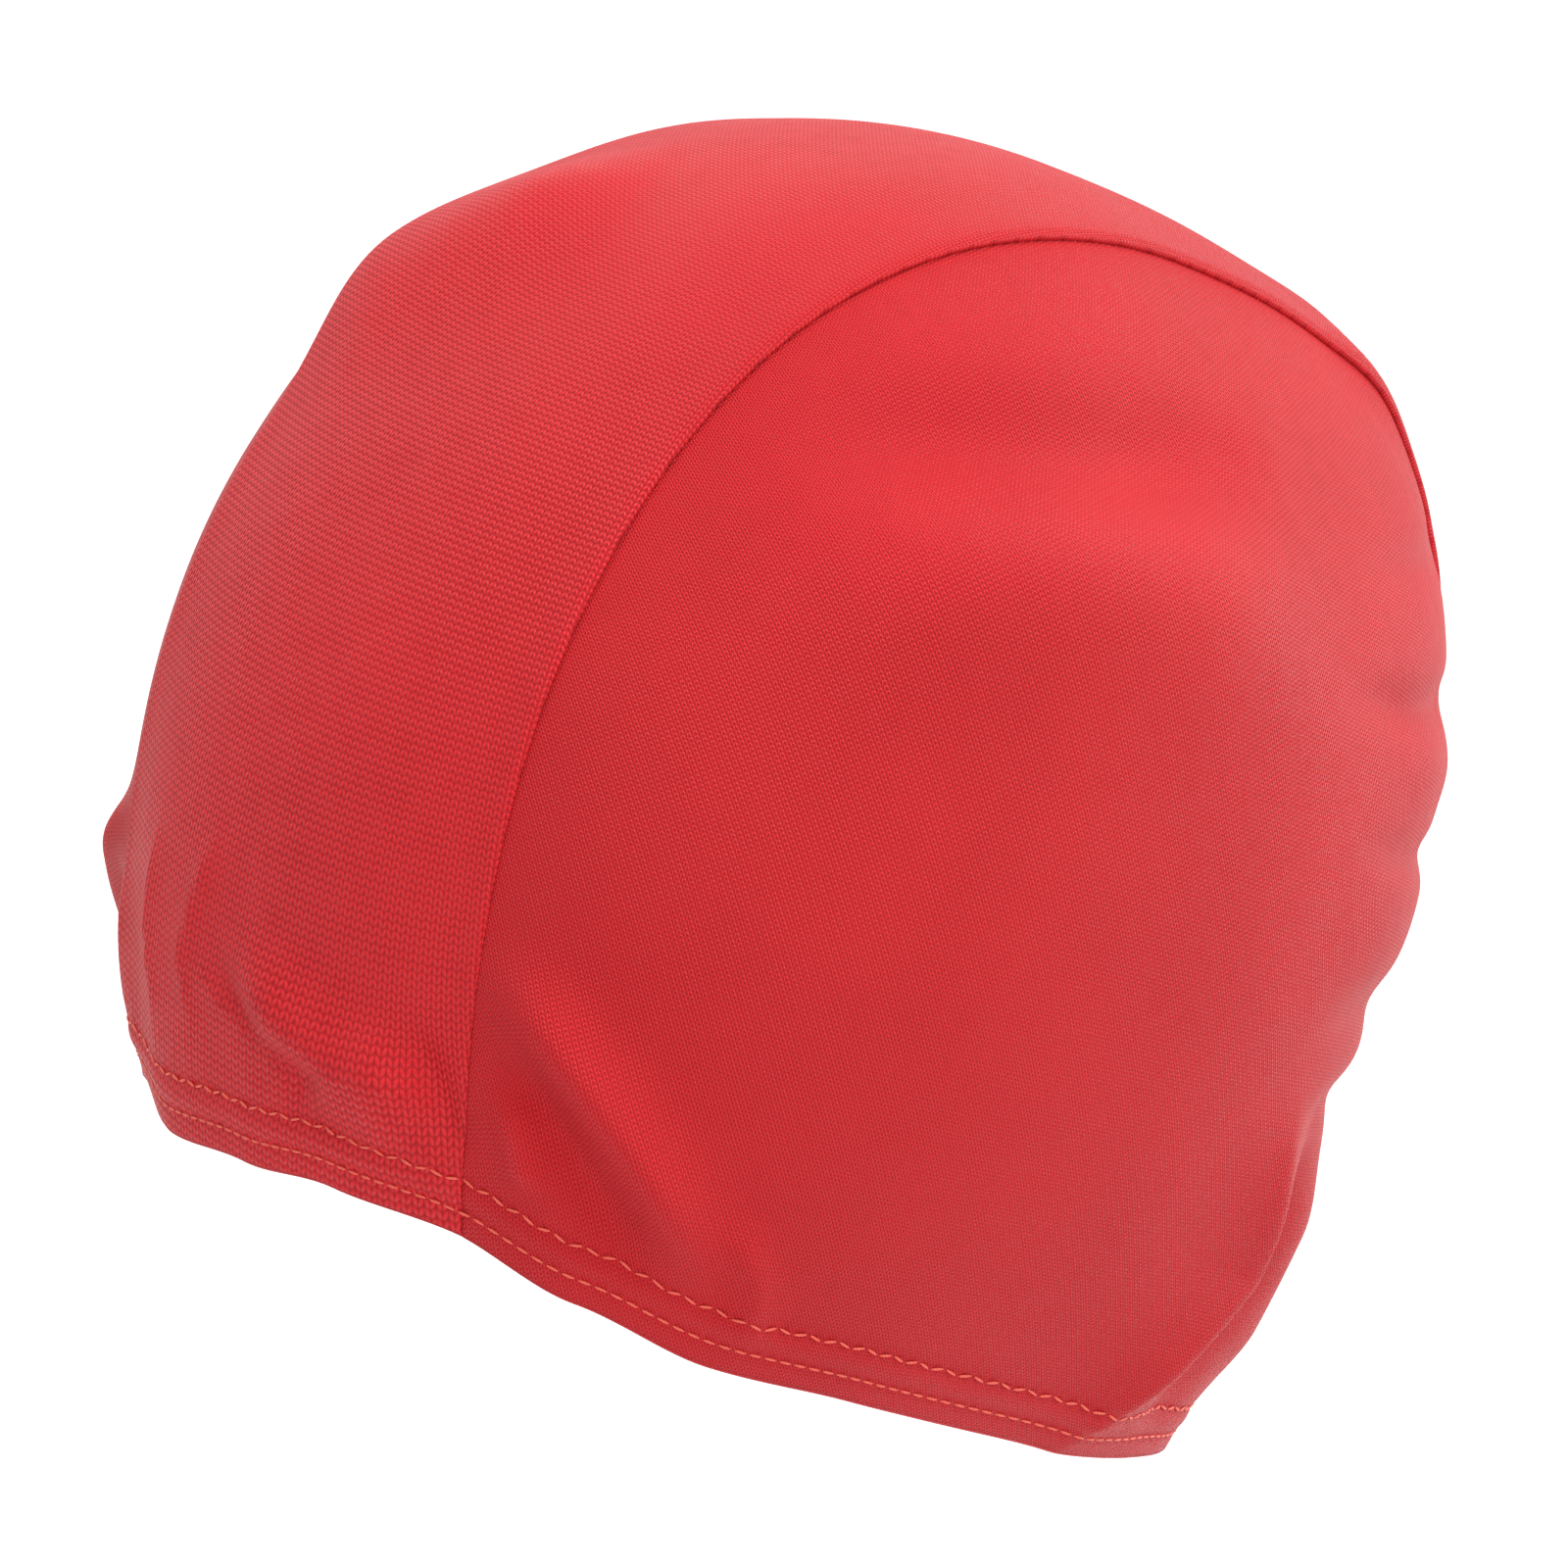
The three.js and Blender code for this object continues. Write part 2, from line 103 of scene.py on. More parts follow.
# Folds and dents through three places each: degrees round, shares of the way down, height and
# half width as shares of the deepest fold's, then whether it is crisp and on both sides
CRISP, SOFT, PAIRED, SINGLE = True, False, True, False
FOLDS = (
    # The forehead, left of the centre
    ("brow_fold", (-94, -80, -58), (0.862, 0.905, 0.955), 0.62, 0.43, SOFT, SINGLE),
    ("brow_valley", (-97, -84, -68), (0.88, 0.925, 0.955), -0.34, 0.26, SOFT, SINGLE),
    ("brow_crease", (-101, -92, -76), (0.885, 0.905, 0.955), 0.36, 0.20, CRISP, SINGLE),
    ("seam_pull", (-74, -66, -57), (0.88, 0.915, 0.975), 0.34, 0.27, SOFT, SINGLE),
    ("seam_valley", (-66, -61, -57), (0.87, 0.915, 0.96), -0.32, 0.25, SOFT, SINGLE),
    ("forehead_crease", (-96, -101, -98), (0.79, 0.885, 0.945), 0.22, 0.18, CRISP, SINGLE),
    ("forehead_fold", (-109, -110, -107), (0.80, 0.88, 0.95), 0.20, 0.18, CRISP, SINGLE),
    ("brow_bulge", (-128, -112, -100), (0.52, 0.38, 0.28), 0.95, 1.20, SOFT, SINGLE),
    # The side panels
    ("temple_fold", (-60, -46, -27), (0.80, 0.865, 0.965), 0.85, 0.42, SOFT, PAIRED),
    ("temple_valley", (-57, -46, -34), (0.855, 0.905, 0.97), -0.50, 0.36, SOFT, PAIRED),
    ("temple_bump", (-53, -51, -49), (0.89, 0.925, 0.955), 0.40, 0.26, SOFT, SINGLE),
    ("ear_fold", (-30, -25, -22), (0.90, 0.94, 0.99), 0.30, 0.22, SOFT, SINGLE),
    ("seam_hollow", (-57, -36, 8), (0.455, 0.415, 0.335), -0.85, 0.80, SOFT, PAIRED),
    ("shoulder", (-55, -25, 20), (0.535, 0.475, 0.44), 0.85, 1.30, SOFT, PAIRED),
    ("far_temple_dent", (-133, -128, -122), (0.80, 0.815, 0.83), -0.14, 0.34, SOFT, SINGLE),
    ("far_temple_bulge", (-127, -123, -118), (0.84, 0.91, 1.02), 0.34, 0.50, SOFT, SINGLE),
    # Behind the ears
    ("ear_crease", (27, 34, 18), (0.70, 0.85, 1.03), 1.00, 0.60, CRISP, PAIRED),
    ("flap_dent", (40, 41, 33), (0.72, 0.86, 1.00), -0.80, 0.50, SOFT, PAIRED),
    ("nape_bulge", (50, 52, 56), (0.74, 0.86, 0.98), 0.72, 0.80, SOFT, PAIRED),
    # The back, where the cloth is slack
    ("crown_back_bulge", (40, 52, 66), (0.30, 0.24, 0.20), 0.34, 0.90, SOFT, PAIRED),
    ("back_bulge", (20, 42, 64), (0.62, 0.60, 0.60), 0.20, 0.90, SOFT, PAIRED),
    ("back_roll", (26, 45, 62), (0.51, 0.512, 0.50), 0.20, 0.34, SOFT, PAIRED),
    ("back_dent_1", (20, 38, 60), (0.40, 0.39, 0.37), -0.18, 0.26, SOFT, PAIRED),
    ("back_dent_2", (15, 34, 60), (0.48, 0.475, 0.465), -0.42, 0.24, SOFT, PAIRED),
    ("back_dent_3", (22, 42, 64), (0.565, 0.562, 0.555), -0.30, 0.22, SOFT, PAIRED),
    ("back_dent_4", (24, 42, 64), (0.67, 0.655, 0.65), -0.30, 0.34, SOFT, PAIRED),
    ("back_dent_5", (30, 42, 60), (0.75, 0.725, 0.72), -0.34, 0.34, SOFT, PAIRED),
)


def length(name, description, default):
    return FloatProperty(name=name, description=description, default=default, unit="LENGTH")


def plain(name, description, default):
    return FloatProperty(name=name, description=description, default=default)


def colour(name, description, default):
    return StringProperty(name=name, description=description, default=default)


class CapForm(bpy.types.PropertyGroup):
    half_width: length(
        "Half width", "Middle to side at the widest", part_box("side_panel_left")[1][0])
    front_reach: length("Front reach", "Middle to forehead at the widest level", 97.5 * MM)
    back_reach: length("Back reach", "Middle to the back at the widest level", 90 * MM)
    crown_height: length("Crown height", "Hem plane to crown", 166.5 * MM)
    widest_height: length("Widest height", "Hem plane to the widest level", 66.5 * MM)
    hem_half_width: length("Hem half width", "Middle to side at the hem", 63 * MM)
    hem_front: length("Hem front", "Middle to forehead at the hem", 75 * MM)
    hem_back: length("Hem back", "Middle to nape at the hem", 91 * MM)
    hem_dip: length("Hem dip", "Deepest dip of the lower edge", 6.5 * MM)
    hem_depth: length("Hem depth", "How far the edge is turned up", 8 * MM)
    worn_tilt: FloatProperty(
        name="Worn tilt", description="How far the forehead edge is raised",
        default=math.radians(27), unit="ROTATION")
    panel_half_width: length("Centre half width", "Half the centre panel at the crown", 33 * MM)
    seam_end: FloatProperty(
        name="Seam end", description="Angle from ear to seam at the hem",
        default=math.radians(56.2), unit="ROTATION")
    seam_ridge: length("Seam ridge", "How proud the centre panel's edge stands", 0.55 * MM)
    seam_ridge_width: length("Ridge width", "Half width of the seam's ridge", 5 * MM)
    seam_sink: length("Seam sink", "How deep the side panel lies at the seam", 0.55 * MM)
    seam_sink_width: length("Sink width", "Half width of the dip by the seam", 9 * MM)
    crown_flatness: length("Crown flatness", "How flat the centre panel is drawn", 3.2 * MM)
    fold_height: length("Fold height", "Height of the deepest fold", 5 * MM)
    fold_width: length("Fold width", "Half width of the widest fold", 16 * MM)
    plan_square: plain("Plan squareness", "2 is an ellipse, more is squarer", 2.25)
    hem_square: plain("Hem squareness", "2 is an ellipse, more is squarer", 2.4)
    front_square: plain("Front squareness", "2 is round, more is squarer", 1.98)
    back_square: plain("Back squareness", "2 is round, more is squarer", 2.66)
    side_square: plain("Side squareness", "2 is round, more is squarer", 2.0)
    hem_taper: plain("Hem taper", "How late the wall draws in to the hem", 2.05)
    seam_spread: plain("Seam spread", "How late the seams spread apart", 2.7)
    widest_share: plain("Widest share", "Share of the way down to the widest level", 0.66)


class CapCloth(bpy.types.PropertyGroup):
    thickness: length("Cloth", "Thickness of the knit", 0.9 * MM)
    seam_lap: length("Seam lap", "How far the panels lap at a seam", 0.3 * MM)
    edge_roll: length("Edge roll", "How far a seam edge turns under", 0.45 * MM)
    hem_thickness: length("Hem cloth", "Thickness of the cloth turned up inside", 0.6 * MM)
    hem_tuck: length("Hem tuck", "How far the roll starts under the surface", 0.1 * MM)
    # The real loops are about 0.6 mm apart, too fine to show, so they are drawn coarser
    wale: length("Wale", "Spacing of the knit's columns", 0.86 * MM)
    course: length("Course", "Spacing of the knit's rows", 0.68 * MM)
    lower_row: length("Lower stitch row", "Height above the edge", 3.0 * MM)
    upper_row: length("Upper stitch row", "Height above the edge", 7.3 * MM)
    stitch_pitch: length("Stitch pitch", "From stitch to stitch", 2.4 * MM)
    stitch_length: length("Stitch length", "Length that shows", 1.9 * MM)
    thread: length("Thread", "Width of the sewing thread", 0.42 * MM)
    pucker: length("Pucker", "Depth of the dimples along a stitch row", 0.35 * MM)
    red: colour("Fabric", "Colour of the dyed knit", "#E02C33")
    # The darker red is painted shade, laid down between the loops where their hollows fall in
    # shade
    gap_shade_red: colour("Between loops", "Colour down between the loops", "#960D15")
    bloom: colour("Sheen", "Colour of the filament sheen", "#FFB4B4")
    thread_red: colour("Thread", "Colour of the sewing thread", "#F0664E")


class CapStage(bpy.types.PropertyGroup):
    azimuth: FloatProperty(
        name="Azimuth", description="Camera's angle round the cap",
        default=math.radians(51), unit="ROTATION")
    elevation: FloatProperty(
        name="Elevation", description="Camera's height angle",
        default=math.radians(21), unit="ROTATION")
    distance: length("Distance", "Camera to cap", 1.3)
    view_width: length("View width", "Width of the picture at the cap", 222.2 * MM)
    floor_drop: length("Floor drop", "Floor below the cap's lowest point", 1.2)
    surround: plain("Surround", "Brightness of the white surroundings", 0.68)
    backdrop: colour("Backdrop", "Colour of floor and surroundings", "#FFFFFF")
    paper_grain: colour("Paper grain", "Colour of the floor paper's grain", "#F6F6F6")


def squared(angle, squareness, half_width, front, back):
    """A squared ellipse's points at the given angles."""
    c, s = np.cos(angle), np.sin(angle)
    reach = (np.abs(c) ** squareness + np.abs(s) ** squareness) ** (-1 / squareness)
    return half_width * c * reach, np.where(s < 0, front, back) * s * reach


def ease(value):
    """Smooth rise from 0 to 1."""
    value = np.clip(value, 0, 1)
    return value * value * (3 - 2 * value)


def mix(start, end, share):
    return start + (end - start) * share


def hem_dip(angle, form):
    """How far the lower edge dips, at angles round the head."""
    around = np.degrees(angle)
    around = np.where(around < HEM_LINE[0][0], around + 360, around)
    dip = np.zeros_like(around)
    for (low, low_dip), (high, high_dip) in zip(HEM_LINE[:-1], HEM_LINE[1:]):
        share = mix(low_dip, high_dip, ease((around - low) / (high - low)))
        dip = np.where((around >= low) & (around <= high), share, dip)
    return dip * form.hem_dip


def smooth_form(p, q, form):
    """The cap without folds, as the image of a disc: p towards the left ear, q to the nape."""
    down, angle = np.hypot(p, q), np.arctan2(q, p)
    widest = squared(angle, form.plan_square, form.half_width, form.front_reach, form.back_reach)
    hem = squared(angle, form.hem_square, form.hem_half_width, form.hem_front, form.hem_back)
    c = np.cos(angle) ** 2
    end = np.where(q < 0, form.front_square, form.back_square)
    square = form.side_square * c + end * (1 - c)
    arc = np.clip(down / form.widest_share, 0, 1) * math.pi / 2
    reach = (np.sin(arc) ** square + np.cos(arc) ** square) ** (-1 / square)
    spread, rise = reach * np.sin(arc), reach * np.cos(arc)
    below = np.clip((down - form.widest_share) / (1 - form.widest_share), 0, 1.2)
    taper = below ** form.hem_taper
    upper = down < form.widest_share
    x = np.where(upper, widest[0] * spread, mix(widest[0], hem[0], taper))
    y = np.where(upper, widest[1] * spread, mix(widest[1], hem[1], taper))
    dome = mix(form.widest_height, form.crown_height, rise)
    wall = mix(form.widest_height, -hem_dip(angle, form), below)
    return np.stack([x, y, np.where(upper, dome, wall)], -1)


def outward(p, q, form):
    """Outward normals of the smooth form."""
    across = smooth_form(p + STEP, q, form) - smooth_form(p - STEP, q, form)
    along = smooth_form(p, q + STEP, form) - smooth_form(p, q - STEP, form)
    normal = np.cross(across, along)
    return normal / np.linalg.norm(normal, axis=-1, keepdims=True)


def seam_ends(form):
    return math.cos(form.seam_end), math.sin(form.seam_end)


def seam_at(q, form):
    """The seam's distance from the disc's middle line, at places along it."""
    end_p, end_q = seam_ends(form)
    top = form.widest_share * math.asin(form.panel_half_width / form.half_width) / (math.pi / 2)
    along = np.minimum(np.abs(q) / end_q, 1)
    return mix(top, end_p, along ** form.seam_spread)


def seam_crossing(down, form):
    """Where along the seam it is each share of the way down, found by halving."""
    low, high = np.zeros_like(down), np.full_like(down, seam_ends(form)[1])
    for _ in range(40):
        middle = (low + high) / 2
        inside = np.hypot(seam_at(middle, form), middle) < down
        low, high = np.where(inside, middle, low), np.where(inside, high, middle)
    return (low + high) / 2


def crown_to_hem(form):
    """Length of the cloth from the crown down to the hem."""
    dome = (form.crown_height - form.widest_height + form.half_width) * DOME_ARC_SHARE
    return dome + form.widest_height * WALL_SLANT_SHARE


def fold_height(fold, p, q, form):
    """One fold's height, from the distance to its two stretches on the unrolled cloth."""
    _, around, down, height, width, crisp, _ = fold
    radius = (form.half_width + form.hem_half_width) / 2 + form.hem_depth
    reach = crown_to_hem(form)
    turned = np.degrees(np.arctan2(q, p)) - around[1]
    x = np.radians(around[1] + (turned + 180) % 360 - 180) * radius
    y = np.hypot(p, q) * reach
    stops = [(math.radians(a) * radius, d * reach) for a, d in zip(around, down)]
    first, whole = math.dist(*stops[:2]), math.dist(*stops[:2]) + math.dist(*stops[1:])
    nearest, along = np.full(x.shape, 10.0), np.zeros(x.shape)
    for start, end, before in ((stops[0], stops[1], 0), (stops[1], stops[2], first)):
        run = math.dist(start, end)
        dx, dy = (end[0] - start[0]) / run, (end[1] - start[1]) / run
        share = np.clip(((x - start[0]) * dx + (y - start[1]) * dy) / run, 0, 1)
        gap = np.hypot(x - start[0] - dx * run * share, y - start[1] - dy * run * share)
        closer = gap < nearest
        nearest = np.where(closer, gap, nearest)
        along = np.where(closer, (before + share * run) / whole, along)
    fade = ease(along / FOLD_END_SHARE) * ease((1 - along) / FOLD_END_SHARE)
    ratio = nearest / (width * form.fold_width)
    fall = np.sqrt(ratio ** 2 + FOLD_ROUNDING) if crisp else ratio ** 2
    section = np.exp(-FOLD_FALLOFF * fall)
    return height * form.fold_height * fade * section


def folds_at(p, q, form):
    """Height of all folds together."""
    height = np.zeros(p.shape)
    for fold in FOLDS:
        height += fold_height(fold, p, q, form)
        if fold[-1]:
            height += fold_height(fold, -p, q, form)
    return height


def seam_relief(p, q, panel, form, cloth):
    """The centre panel's turned edge stands proud of the side panel's, over a thin groove."""
    seam = seam_at(q, form)
    upper = ease((1 - np.hypot(p, q)) / RELIEF_SHARE)
    aside = np.abs(np.abs(p) - seam) * crown_to_hem(form) * ACROSS_SHARE
    groove = cloth.edge_roll * np.exp(-((aside / GROOVE_WIDTH) ** 2))
    if panel == "side":
        sink = form.seam_sink * mix(0.2, 1, upper) * np.exp(-((aside / form.seam_sink_width) ** 2))
        return -sink - 0.5 * groove
    across = np.minimum(np.abs(p) / seam, 1)
    flat = form.crown_flatness * upper * (1 - across ** 2)
    ridge = form.seam_ridge * mix(0.3, 1, upper) * np.exp(-((aside / form.seam_ridge_width) ** 2))
    return ridge - flat - groove


def edge_height(p, q, form):
    """How far above the lower edge a place is, along the cloth."""
    wall = (form.widest_height + form.hem_dip / 2) / (1 - form.widest_share)
    return (1 - np.hypot(p, q)) * wall


def stitch_puckers(p, q, form, cloth):
    """Dimples along both stitch rows, and the swelling of the cloth between them."""
    height = edge_height(p, q, form)
    angle = np.arctan2(q, p)
    turns = hem_perimeter(form) / cloth.stitch_pitch
    wave = 0.5 + 0.5 * np.cos(angle * round(turns))
    relief = np.zeros(p.shape)
    for row, depth in ((cloth.lower_row, 0.8), (cloth.upper_row, 1.2)):
        channel = np.exp(-(((height - row) / STITCH_CHANNEL) ** 2))
        relief -= cloth.pucker * depth * channel * (0.45 + 0.55 * wave)
    middle = (cloth.lower_row + cloth.upper_row) / 2
    relief += 0.8 * cloth.pucker * np.exp(-(((height - middle) / STITCH_SWELL) ** 2))
    return relief


def hem_perimeter(form):
    """Length of the lower edge."""
    angle = np.linspace(-math.pi, math.pi, 721)
    edge = smooth_form(np.cos(angle), np.sin(angle), form)
    return float(np.linalg.norm(np.diff(edge, axis=0), axis=1).sum())


def head_seat(form):
    """The highest point inside the cap as worn, which the frame's origin marks."""
    q = np.linspace(-form.widest_share, form.widest_share, 401)
    p = np.zeros_like(q)
    cloth = bpy.context.scene.cap_cloth
    lift = folds_at(p, q, form) + seam_relief(p, q, "centre", form, cloth) - CAD_WALL
    inside = smooth_form(p, q, form) + outward(p, q, form) * lift[:, None]
    tilted = inside @ tilt_matrix(form)
    return tilted[np.argmax(tilted[:, 2])]


def tilt_matrix(form):
    c, s = math.cos(form.worn_tilt), math.sin(form.worn_tilt)
    return np.array([[1, 0, 0], [0, c, -s], [0, s, c]])


def as_worn(points, form):
    """From the cap's own upright place to the frame: tilted, with the head's seat at zero."""
    return points @ tilt_matrix(form) - head_seat(form)


def cloth_point(p, q, panel, form, cloth):
    """A place on a panel's outside, with its folds, seam relief and stitch dimples."""
    lift = folds_at(p, q, form) + seam_relief(p, q, panel, form, cloth)
    lift += stitch_puckers(p, q, form, cloth)
    return as_worn(smooth_form(p, q, form) + outward(p, q, form) * lift[:, None], form)


def half_lap(q, form, cloth):
    """How far past the seam each panel reaches, on the disc."""
    p = seam_at(q, form)
    spread = smooth_form(p + STEP, q, form) - smooth_form(p - STEP, q, form)
    return cloth.seam_lap / 2 / (np.linalg.norm(spread, axis=-1) / (2 * STEP))


def hem_share(form):
    """The turned-up depth as a share of the way from crown to hem."""
    return (1 - form.widest_share) * form.hem_depth / (form.widest_height + form.hem_dip / 2)


def centre_disc(x, y, form, cloth):
    """Grid to disc for the centre panel: x across from seam to seam, y forehead to nape."""
    crowd = np.sign(x) * (1 - (1 - np.abs(x)) ** SEAM_CROWDING)
    body = 1 - hem_share(form)
    inner = 1 - HEM_BAND
    in_hem = np.abs(y) > inner
    down = np.where(in_hem, mix(body, 1, (np.abs(y) - inner) / HEM_BAND), body)
    end = seam_crossing(down, form)
    along = np.where(in_hem, np.sign(y), y / inner)
    seam_q = along * end
    edge = seam_at(seam_q, form) + half_lap(seam_q, form, cloth)
    angle = np.arctan2(seam_at(end, form) + half_lap(end, form, cloth), end) * crowd
    middle_q = np.where(in_hem, down * np.cos(angle), body * np.cos(angle))
    q = along * np.where(in_hem, middle_q, mix(middle_q, end, crowd ** 2))
    p = np.where(in_hem, down * np.sin(angle), edge * crowd)
    return p, q


def side_disc(x, y, form, cloth):
    """Grid to disc for the left panel: x front to back, y from the hem up to the seam."""
    body = 1 - hem_share(form)
    lowered = (1 - y) / 2
    inner = 1 - HEM_BAND
    in_hem = lowered > inner
    down = np.where(in_hem, mix(body, 1, (lowered - inner) / HEM_BAND), body)
    end = seam_crossing(down, form)
    ear = np.arctan2(end, seam_at(end, form) - half_lap(end, form, cloth))
    rim_p, rim_q = down * np.cos(ear * x), down * np.sin(ear * x)
    seam_q = x * end
    seam_p = seam_at(seam_q, form) - half_lap(seam_q, form, cloth)
    share = np.where(in_hem, 1, np.clip(lowered / inner, 0, 1) ** SIDE_CROWDING)
    share = np.where(np.abs(x) > 1 - 1e-6, 1, share)
    return mix(seam_p, rim_p, share), mix(seam_q, rim_q, share)


def link_piece(name, bm, material):
    """Makes the finished bmesh a smooth piece of the scene."""
    mesh = bpy.data.meshes.new(name)
    bm.to_mesh(mesh)
    bm.free()
    mesh.polygons.foreach_set("use_smooth", [True] * len(mesh.polygons))
    mesh.materials.append(material)
    piece = bpy.data.objects.new(name, mesh)
    bpy.context.scene.collection.objects.link(piece)
    return piece


def grid_places(bm):
    """The grid's vertices as places from -1 to 1."""
    places = np.array([vert.co[:] for vert in bm.verts])
    places /= np.abs(places).max(axis=0, initial=1e-9)
    return places[:, 0], places[:, 1]


def flat_pattern(piece):
    """Lays the panel's cloth flat as its UV map, in metres, and returns its flat size."""
    bpy.ops.object.select_all(action="DESELECT")
    piece.select_set(True)
    bpy.context.view_layer.objects.active = piece
    bpy.ops.object.mode_set(mode="EDIT")
    bpy.ops.mesh.select_all(action="SELECT")
    bpy.ops.uv.unwrap(method="CONFORMAL", margin=0.0)
    bpy.ops.object.mode_set(mode="OBJECT")
    mesh = piece.data
    flat = np.empty(len(mesh.loops) * 2)
    layer = mesh.uv_layers.active.data
    layer.foreach_get("uv", flat)
    flat = flat.reshape(-1, 2)
    corner = np.empty(len(mesh.loops), int)
    mesh.loops.foreach_get("vertex_index", corner)
    points = np.empty(len(mesh.vertices) * 3)
    mesh.vertices.foreach_get("co", points)
    points = points.reshape(-1, 3)[corner]
    mesh.calc_loop_triangles()
    loops = np.empty(len(mesh.loop_triangles) * 3, int)
    mesh.loop_triangles.foreach_get("loops", loops)
    a, b, c = flat[loops].reshape(-1, 3, 2).transpose(1, 0, 2)
    cloth_area = sum(face.area for face in mesh.polygons)
    flat_area = abs(np.cross(b - a, c - a).sum() / 2)
    flat = (flat - flat.mean(axis=0)) * math.sqrt(cloth_area / flat_area)
    # The columns of the knit run down each panel, square to its longer middle line
    top, bottom = points[:, 2].argmax(), points[:, 2].argmin()
    run = flat[top] - flat[bottom]
    turn = math.atan2(run[0], run[1])
    c, s = math.cos(turn), math.sin(turn)
    flat = flat @ np.array([[c, s], [-s, c]])
    layer.foreach_set("uv", flat.ravel())
    return flat.max(axis=0) - flat.min(axis=0), cloth_area


def cloth_panel(name, cells, disc, panel, mirrored, node, form, cloth):
    """One panel: a grid laid on the cap's form and given its thickness."""
    bm = bmesh.new()
    bmesh.ops.create_grid(bm, x_segments=cells[0], y_segments=cells[1], size=1.0)
    x, y = grid_places(bm)
    p, q = disc(x, y, form, cloth)
    if mirrored:
        p = -p
    for vert, place in zip(bm.verts, cloth_point(p, q, panel, form, cloth)):
        vert.co = place
    bmesh.ops.remove_doubles(bm, verts=bm.verts, dist=1e-6)
    bmesh.ops.dissolve_degenerate(bm, dist=1e-7, edges=bm.edges)
    bm.normal_update()
    bm.faces.ensure_lookup_table()
    outside = bm.faces[len(bm.faces) // 2]
    inner = Vector((0, 0, CAD_BOX[0][2] / 2))
    if outside.normal.dot(outside.calc_center_median() - inner) < 0:
        bmesh.ops.reverse_faces(bm, faces=bm.faces)
    piece = link_piece(name, bm, knitted_polyester(cloth))
    flat, area = flat_pattern(piece)
    wall = piece.modifiers.new("cloth_thickness", "SOLIDIFY")
    wall.thickness = cloth.thickness
    wall.offset = -1
    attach(piece, "root")
    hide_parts(node)
    return piece


def turned_hem(cells, form, cloth):
    """The rolled lower edge and the cloth turned up inside it, as one band round the head."""
    bm = bmesh.new()
    bmesh.ops.create_grid(bm, x_segments=cells[0], y_segments=cells[1], size=1.0)
    x, y = grid_places(bm)
    angle, path = x * math.pi, (1 - y) / 2
    roll, roll_share = HEM_ROLL, 0.5
    bend = np.clip(path / roll_share, 0, 1) * math.pi
    rise = np.clip((path - roll_share) / (1 - roll_share), 0, 1)
    down = 1 - rise * hem_share(form)
    p, q = np.cos(angle), np.sin(angle)
    edge_p, edge_q = p * down, q * down
    smooth = smooth_form(edge_p, edge_q, form)
    normal = outward(edge_p, edge_q, form)
    fall = smooth - smooth_form(p * (down - STEP), q * (down - STEP), form)
    fall /= np.linalg.norm(fall, axis=-1, keepdims=True)
    lift = folds_at(edge_p, edge_q, form) + stitch_puckers(edge_p, edge_q, form, cloth) * 0.5
    lift += seam_relief(edge_p, edge_q, "side", form, cloth) * 0.3
    depth = lift - cloth.hem_tuck - roll * (1 - np.cos(bend))
    points = smooth + normal * depth[:, None] + fall * (roll * np.sin(bend))[:, None]
    for vert, place in zip(bm.verts, as_worn(points, form)):
        vert.co = place
    perimeter = hem_perimeter(form)
    bm.verts.index_update()
    layer = bm.loops.layers.uv.new("UVMap")
    for face in bm.faces:
        for loop in face.loops:
            i = loop.vert.index
            along = roll * bend[i] + rise[i] * form.hem_depth
            loop[layer].uv = (angle[i] / (2 * math.pi) * perimeter, -along)
    bmesh.ops.remove_doubles(bm, verts=bm.verts, dist=1e-6)
    bm.normal_update()
    lowest = min(bm.faces, key=lambda face: face.calc_center_median().z)
    if lowest.normal.z > 0:
        bmesh.ops.reverse_faces(bm, faces=bm.faces)
    piece = link_piece("turned_hem_cloth", bm, knitted_polyester(cloth))
    wall = piece.modifiers.new("cloth_thickness", "SOLIDIFY")
    wall.thickness = cloth.hem_thickness
    wall.offset = -1
    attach(piece, "root")
    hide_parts("turned_hem")
    depth = math.pi * roll + form.hem_depth
    return piece


